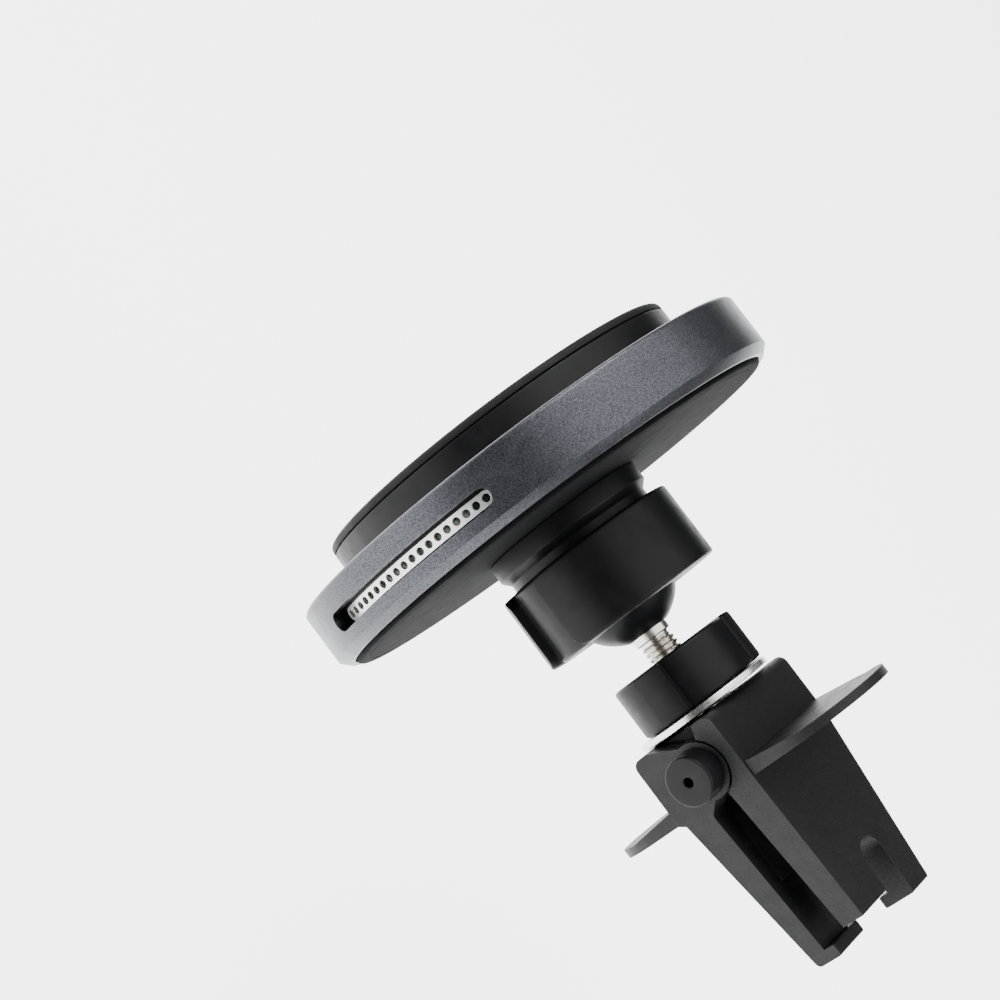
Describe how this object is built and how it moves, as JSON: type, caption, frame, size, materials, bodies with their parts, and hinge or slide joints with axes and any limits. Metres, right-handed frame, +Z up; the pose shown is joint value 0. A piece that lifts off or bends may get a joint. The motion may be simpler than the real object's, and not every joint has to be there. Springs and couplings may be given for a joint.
{
  "type": "car phone mount",
  "caption": "Round magnetic charging head for a phone on a ball joint, held by a screw-locked two-jaw clip that grips a car's air vent blade.",
  "frame": {"origin": "middle of the fixed jaw's grip pad face, where it rests on the vent blade", "axes": "+Y runs along the stud into the vent, -Y faces the driver, +Z is up towards the phone's top, X lies along the lever's pivot pin"},
  "size_m": [0.0732, 0.0849, 0.0733],
  "materials": {
    "pad_silicone": "matt soft-touch silicone",
    "satin_plastic": "satin moulded plastic",
    "cover_plastic": "fine-grained moulded plastic",
    "textured_plastic": "fine spark-eroded texture, semi-matt",
    "ring_metal": "graphite grey, fine bead-blasted and sealed",
    "strip_metal": "polished",
    "plated_steel": "plated",
    "coil_copper": "enamelled copper winding",
    "ferrite": "sintered, matt",
    "circuit_board": "solder resist",
    "chip_plastic": "moulded epoxy",
    "magnet_nickel": "nickel plated",
    "nylon": "natural nylon",
    "stud_nickel": "nickel plated, turned",
    "washer_zinc": "bright zinc plated",
    "grip_rubber": "matt"
  },
  "bodies": {
    "clip": {"clip_body": "textured_plastic", "ball": "satin_plastic", "threaded_stud": "stud_nickel", "pivot_pin": "satin_plastic", "pin_retainer": "plated_steel", "torsion_spring": "plated_steel", "fixed_grip_pad": "grip_rubber"},
    "lever": {"lever": "textured_plastic", "lever_grip_pad": "grip_rubber"},
    "washer": {"washer": "washer_zinc"},
    "clamp_nut": {"clamp_nut": "satin_plastic"},
    "ball_liner": {"ball_liner": "nylon"},
    "pressure_cup": {"pressure_cup": "plated_steel"},
    "head": {"silicone_pad": "pad_silicone", "front_shell": "satin_plastic", "ring_housing": "ring_metal", "grille_frame_right": "satin_plastic", "grille_frame_left": "satin_plastic", "grille_strip_right": "strip_metal", "grille_strip_left": "strip_metal", "magnet_backing": "plated_steel", "charging_coil": "coil_copper", "ferrite_sheet": "ferrite", "circuit_board": "circuit_board", "control_chip": "chip_plastic", "power_chip": "chip_plastic", "board_inductor": "ferrite", "board_capacitor_1": "plated_steel", "board_capacitor_2": "plated_steel", "usb_c_shell": "plated_steel", "usb_c_tongue": "chip_plastic", "rear_cover": "cover_plastic", "ball_socket": "satin_plastic", "magnet_1": "magnet_nickel", "magnet_2": "magnet_nickel", "magnet_3": "magnet_nickel", "magnet_4": "magnet_nickel", "magnet_5": "magnet_nickel", "magnet_6": "magnet_nickel", "magnet_7": "magnet_nickel", "magnet_8": "magnet_nickel", "magnet_9": "magnet_nickel", "magnet_10": "magnet_nickel", "magnet_11": "magnet_nickel", "magnet_12": "magnet_nickel", "board_screw_1": "plated_steel", "board_screw_2": "plated_steel", "board_screw_3": "plated_steel", "socket_screw_1": "plated_steel", "socket_screw_2": "plated_steel", "socket_screw_3": "plated_steel", "socket_screw_4": "plated_steel"},
    "collet": {"collet_ring": "satin_plastic"},
    "collar_nut": {"collar_nut": "satin_plastic"}
  },
  "joints": [
    {"name": "tilt_up_down", "type": "hinge", "parent": "clip", "child": "ball_liner", "pos_m": [0, -0.04, -0.00265], "axis": [1, 0, 0], "range_deg": [-18, 18]},
    {"name": "tilt_left_right", "type": "hinge", "parent": "ball_liner", "child": "pressure_cup", "pos_m": [0, -0.04, -0.00265], "axis": [0, 0, 1], "range_deg": [-18, 18]},
    {"name": "head_spin", "type": "hinge", "parent": "pressure_cup", "child": "head", "pos_m": [0, -0.04, -0.00265], "axis": [0, 1, 0], "continuous": true},
    {"name": "collet_slide", "type": "slide", "parent": "head", "child": "collet", "axis": [0, 1, 0], "range_m": [0, 0.00076]},
    {"name": "collar_nut_turn", "type": "hinge", "parent": "collet", "child": "collar_nut", "pos_m": [0, -0.04, -0.00265], "axis": [0, 1, 0], "range_deg": [0, 180]},
    {"name": "washer_slide", "type": "slide", "parent": "clip", "child": "washer", "axis": [0, -1, 0], "range_m": [-0.0005, 0.0017]},
    {"name": "clamp_nut_turn", "type": "hinge", "parent": "washer", "child": "clamp_nut", "pos_m": [0, -0.04, -0.00265], "axis": [0, -1, 0], "range_deg": [-180, 720]},
    {"name": "lever_open", "type": "hinge", "parent": "clip", "child": "lever", "pos_m": [0, -0.0129, -0.00155], "axis": [-1, 0, 0], "range_deg": [-3.1, 12.1], "deforming": ["torsion_spring"]}
  ],
  "couplings": [
    {"joint": "collet_slide", "follows": "collar_nut_turn", "m_per_rad": 0.00023873},
    {"joint": "washer_slide", "follows": "clamp_nut_turn", "m_per_rad": 0.00012732},
    {"joint": "lever_open", "follows": "clamp_nut_turn", "ratio": 0.016667}
  ]
}
